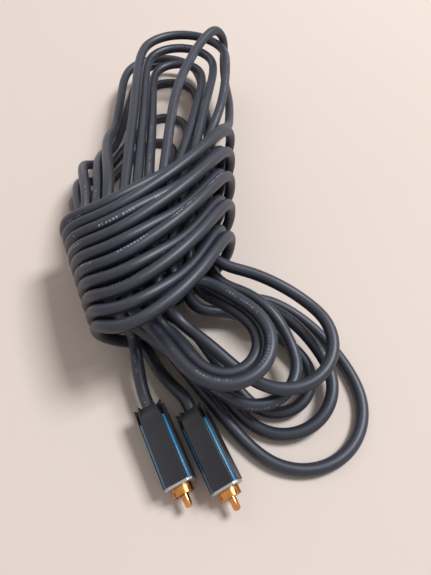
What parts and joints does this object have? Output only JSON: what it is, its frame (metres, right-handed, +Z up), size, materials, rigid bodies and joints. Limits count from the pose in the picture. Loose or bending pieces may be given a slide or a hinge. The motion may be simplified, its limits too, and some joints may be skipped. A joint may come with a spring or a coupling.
{
  "type": "audio cable with phono plugs",
  "caption": "Round audio cable folded into a loose hank and wound round its waist, with a square-cased gold phono plug on each end.",
  "frame": {"origin": "under the middle of the whole bundle, on the surface that it lies on", "axes": "+Z up; +Y from the plugs to the far end of the bundle; +X to the right, seen from above with the plugs nearest"},
  "size_m": [0.1642, 0.342, 0.0558],
  "materials": {
    "jacket": "matte, slightly satin",
    "casing": "satin, fine moulded grain",
    "inlay": "gloss",
    "face_plate": "satin",
    "gold": "polished, gold plated",
    "body": "turned",
    "white_insulator": "matte",
    "grommet": "matte",
    "ferrule": "crimped",
    "conductor": "drawn wire"
  },
  "bodies": {
    "root": {"hank_loops": "jacket", "waist_wrap": "jacket", "lead_a": "jacket", "lead_b": "jacket", "plug_a_casing": "casing", "plug_a_inlay_1": "inlay", "plug_a_inlay_2": "inlay", "plug_a_inlay_3": "inlay", "plug_a_inlay_4": "inlay", "plug_a_face_plate": "face_plate", "plug_a_ground_shell": "gold", "plug_a_insulator": "white_insulator", "plug_a_centre_pin": "gold", "plug_a_body": "body", "plug_a_grommet": "grommet", "plug_a_ferrule": "ferrule", "plug_a_dielectric": "white_insulator", "plug_a_conductor": "conductor", "plug_b_casing": "casing", "plug_b_inlay_1": "inlay", "plug_b_inlay_2": "inlay", "plug_b_inlay_3": "inlay", "plug_b_inlay_4": "inlay", "plug_b_face_plate": "face_plate", "plug_b_ground_shell": "gold", "plug_b_insulator": "white_insulator", "plug_b_centre_pin": "gold", "plug_b_body": "body", "plug_b_grommet": "grommet", "plug_b_ferrule": "ferrule", "plug_b_dielectric": "white_insulator", "plug_b_conductor": "conductor"}
  },
  "joints": []
}
